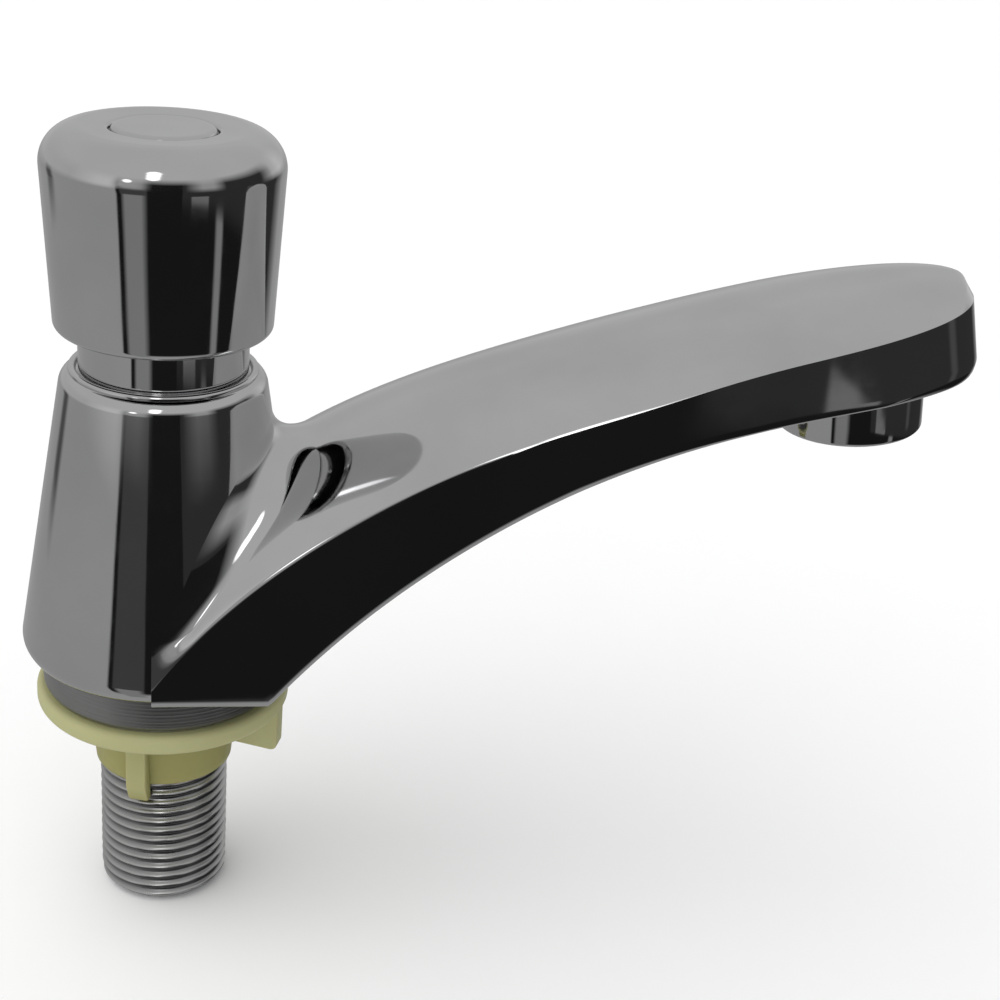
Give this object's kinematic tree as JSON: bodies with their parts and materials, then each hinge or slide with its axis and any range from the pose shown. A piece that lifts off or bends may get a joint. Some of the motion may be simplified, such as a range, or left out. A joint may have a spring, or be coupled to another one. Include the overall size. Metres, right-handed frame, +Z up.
{
  "type": "push timed basin tap",
  "caption": "Self-closing basin tap: a round push knob on a conical chrome body with an arched spout, an aerator outlet and a threaded shank that clamps to the basin's deck.",
  "frame": {"origin": "on the shank's axis, at the deck: the underside of the locating washer's flange, which rests on the basin", "axes": "+Z is up along the shank and the push knob, +X runs along the spout towards the user, +Y completes a right-handed frame"},
  "size_m": [0.1502, 0.045, 0.1296],
  "materials": {
    "chrome": "polished chrome plate on cast brass",
    "turned_steel": "turned and plated, with fine lathe lines",
    "yellow_plastic": "moulded, pale yellow",
    "seal_rubber": "moulded black rubber",
    "valve_brass": "turned brass",
    "spring_steel": "bright stainless",
    "pale_plastic": "moulded, off-white"
  },
  "bodies": {
    "tap": {"body": "chrome", "shank": "turned_steel", "locating_washer": "yellow_plastic", "seat_gasket": "seal_rubber", "valve_seat": "valve_brass", "strainer": "spring_steel", "bonnet": "chrome", "bonnet_oring": "seal_rubber", "spindle_oring": "seal_rubber", "guide_bush": "pale_plastic", "spring_seat": "spring_steel", "return_spring": "spring_steel", "aerator_housing": "chrome", "aerator_insert": "pale_plastic", "aerator_screen": "spring_steel", "aerator_diffuser": "pale_plastic", "aerator_gasket": "seal_rubber"},
    "push_head": {"knob": "chrome", "index_disc": "chrome", "knob_screw": "spring_steel", "spindle": "spring_steel", "piston": "pale_plastic", "lip_seal": "seal_rubber", "piston_clip": "spring_steel", "valve_holder": "valve_brass", "valve_washer": "seal_rubber", "valve_nut": "valve_brass"}
  },
  "joints": [
    {"name": "push", "type": "slide", "parent": "tap", "child": "push_head", "axis": [0, 0, -1], "range_m": [0, 0.005], "stiffness_N_per_m": 1500, "springref_m": -0.008, "deforming": ["return_spring"]}
  ]
}
